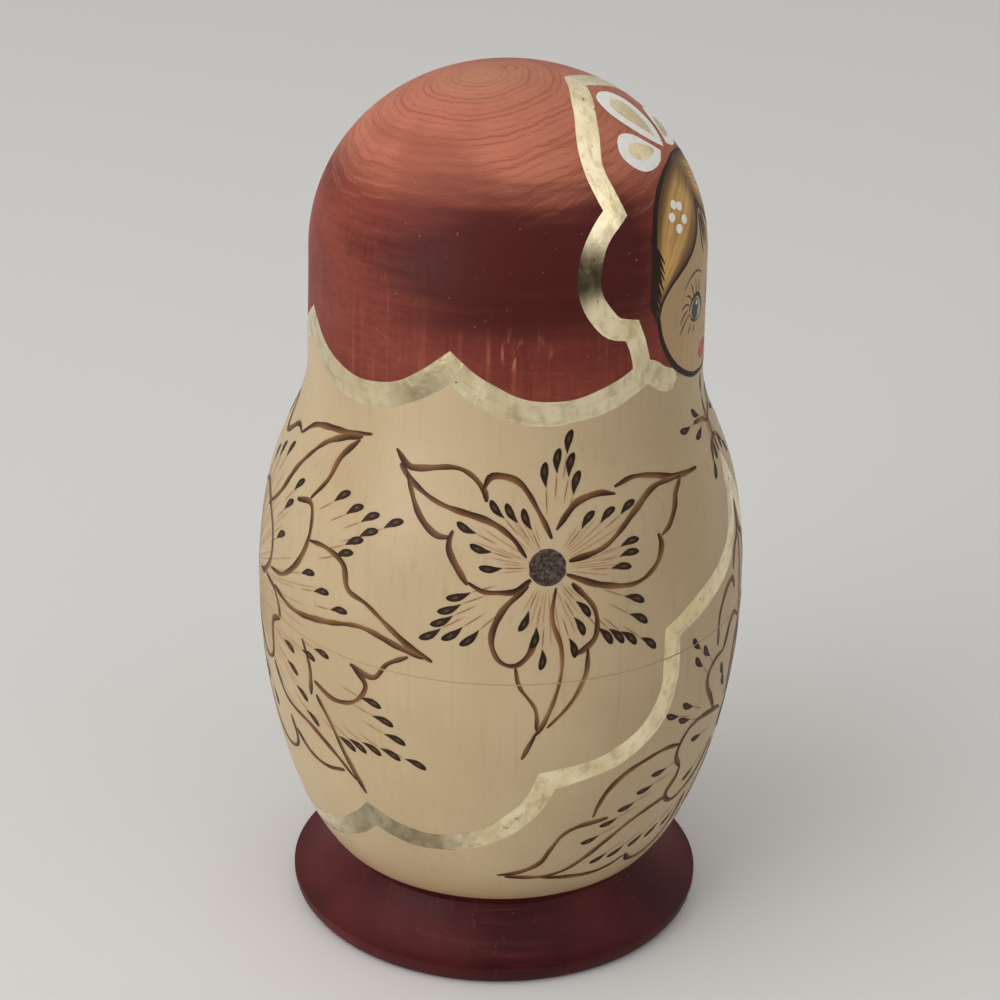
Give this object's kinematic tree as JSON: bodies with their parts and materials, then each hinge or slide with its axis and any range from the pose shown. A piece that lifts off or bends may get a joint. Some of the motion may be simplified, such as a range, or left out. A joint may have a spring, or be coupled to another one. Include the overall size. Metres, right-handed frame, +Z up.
{
  "type": "matryoshka nesting doll",
  "caption": "Turned wooden matryoshka on a flared base that parts at its girth; smaller dolls of the same outline nest inside it, each in two halves, round a solid innermost doll.",
  "frame": {"origin": "centre of the largest doll's foot, on the surface it stands on", "axes": "+Z up along the lathe axis, the painted face looks towards -Y"},
  "size_m": [0.0994, 0.0994, 0.18],
  "materials": {
    "lacquered_limewood": "satin",
    "stained_limewood": "satin"
  },
  "bodies": {
    "largest_lower_half": {"largest_lower_half": "lacquered_limewood"},
    "largest_upper_half": {"largest_upper_half": "stained_limewood"},
    "second_lower_half": {"second_lower_half": "lacquered_limewood"},
    "second_upper_half": {"second_upper_half": "stained_limewood"},
    "third_lower_half": {"third_lower_half": "lacquered_limewood"},
    "third_upper_half": {"third_upper_half": "stained_limewood"},
    "fourth_lower_half": {"fourth_lower_half": "lacquered_limewood"},
    "fourth_upper_half": {"fourth_upper_half": "stained_limewood"},
    "smallest_doll": {"smallest_doll": "lacquered_limewood"}
  },
  "joints": [
    {"name": "largest_open", "type": "slide", "parent": "largest_lower_half", "child": "largest_upper_half", "axis": [0, 0, 1], "range_m": [0, 0.48]},
    {"name": "second_rise", "type": "slide", "parent": "largest_lower_half", "child": "second_lower_half", "axis": [0, 0, 1], "range_m": [0, 0.0624]},
    {"name": "second_open", "type": "slide", "parent": "second_lower_half", "child": "second_upper_half", "axis": [0, 0, 1], "range_m": [0, 0.3168]},
    {"name": "third_rise", "type": "slide", "parent": "second_lower_half", "child": "third_lower_half", "axis": [0, 0, 1], "range_m": [0, 0.0504]},
    {"name": "third_open", "type": "slide", "parent": "third_lower_half", "child": "third_upper_half", "axis": [0, 0, 1], "range_m": [0, 0.1872]},
    {"name": "fourth_rise", "type": "slide", "parent": "third_lower_half", "child": "fourth_lower_half", "axis": [0, 0, 1], "range_m": [0, 0.0408]},
    {"name": "fourth_open", "type": "slide", "parent": "fourth_lower_half", "child": "fourth_upper_half", "axis": [0, 0, 1], "range_m": [0, 0.084]},
    {"name": "smallest_rise", "type": "slide", "parent": "fourth_lower_half", "child": "smallest_doll", "axis": [0, 0, 1], "range_m": [0, 0.0336]}
  ],
  "couplings": [
    {"joint": "second_rise", "follows": "largest_open", "ratio": 0.13},
    {"joint": "second_open", "follows": "largest_open", "ratio": 0.66},
    {"joint": "third_rise", "follows": "largest_open", "ratio": 0.105},
    {"joint": "third_open", "follows": "largest_open", "ratio": 0.39},
    {"joint": "fourth_rise", "follows": "largest_open", "ratio": 0.085},
    {"joint": "fourth_open", "follows": "largest_open", "ratio": 0.175},
    {"joint": "smallest_rise", "follows": "largest_open", "ratio": 0.07}
  ]
}
